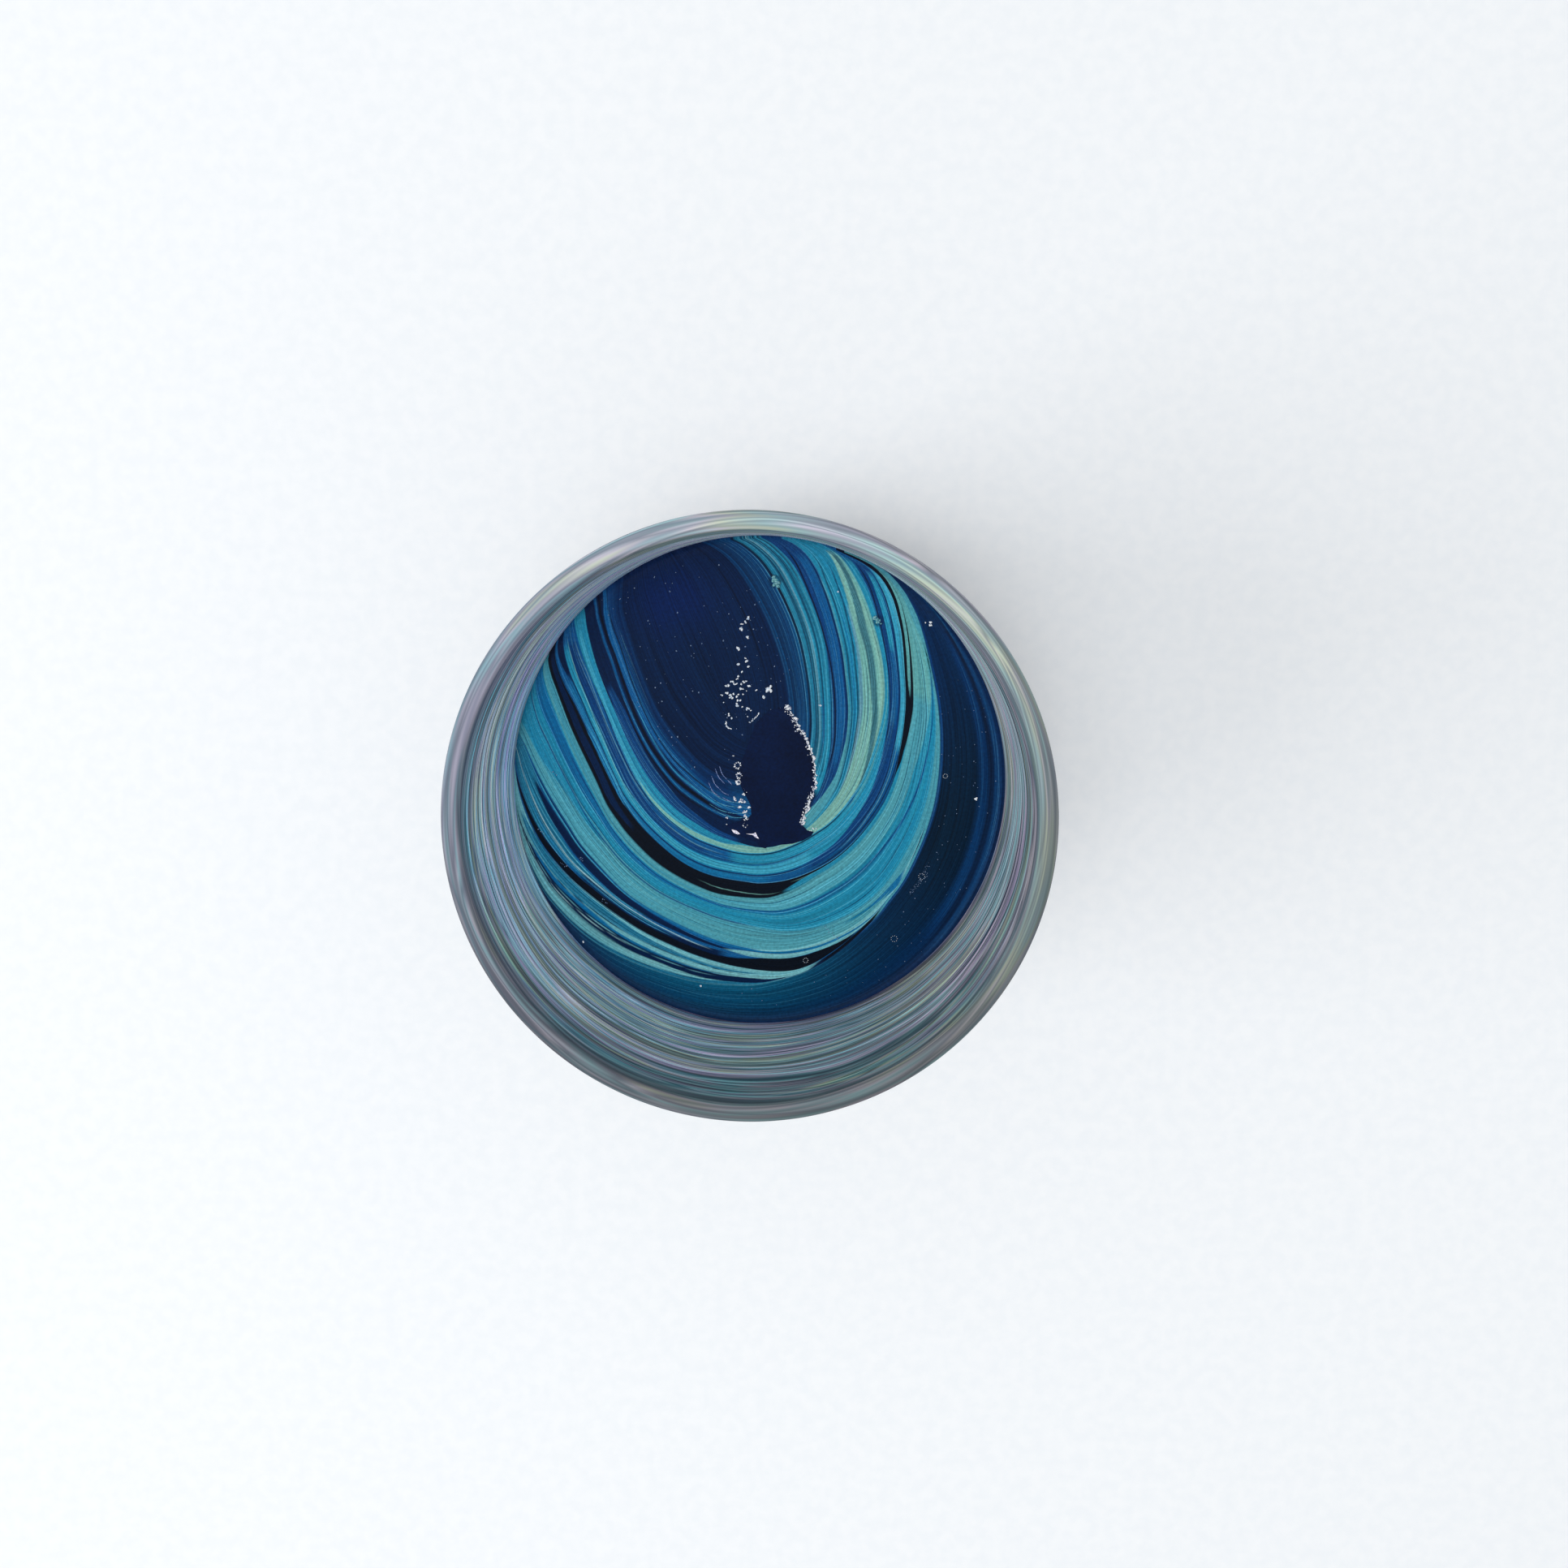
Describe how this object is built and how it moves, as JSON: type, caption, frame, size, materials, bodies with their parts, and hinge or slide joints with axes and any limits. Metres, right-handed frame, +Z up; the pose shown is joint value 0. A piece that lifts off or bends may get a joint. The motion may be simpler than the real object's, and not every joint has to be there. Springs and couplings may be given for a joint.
{
  "type": "paint jar",
  "caption": "Open straight-sided clear glass jar with a thick base, holding marbled blue, teal, black and pale green paint drawn into nested swirls, with a paint film on the inner wall.",
  "frame": {"origin": "centre of the base, on the surface the jar stands on", "axes": "+Z up along the jar's axis, +Y towards the open end of the paint's U-shaped swirl, +X to its right"},
  "size_m": [0.072, 0.072, 0.09],
  "materials": {
    "clear_glass": "clear, smooth pressed glass",
    "thin_paint_film": "thin streaky film of drained paint, semi-gloss",
    "deep_blue_paint": "wet deep blue paint, glossy",
    "navy_paint": "wet navy paint, glossy",
    "black_paint": "wet blue-black paint, glossy",
    "blue_paint": "wet mid blue paint, glossy",
    "teal_paint": "wet teal paint, glossy",
    "pale_green_paint": "wet pale sea-green paint, glossy",
    "dried_skin": "dried, wrinkled white paint skin with small bubbles"
  },
  "bodies": {
    "root": {"glass_jar": "clear_glass", "wall_paint_film": "thin_paint_film", "deep_paint_body": "deep_blue_paint", "deep_blue_crescent": "deep_blue_paint", "outer_teal_ribbon": "teal_paint", "outer_black_ribbon": "black_paint", "broad_teal_ribbon": "teal_paint", "main_black_ribbon": "black_paint", "blue_line_ribbon": "blue_paint", "middle_teal_ribbon": "teal_paint", "pale_green_ribbon": "pale_green_paint", "left_blue_ribbon": "blue_paint", "left_fringe_ribbon": "blue_paint", "right_teal_ribbon": "teal_paint", "right_fringe_ribbon": "blue_paint", "navy_pool": "navy_paint", "left_torn_skin": "dried_skin", "right_torn_skin": "dried_skin", "left_pigment_lump": "teal_paint", "right_pigment_lump": "teal_paint"}
  },
  "joints": []
}
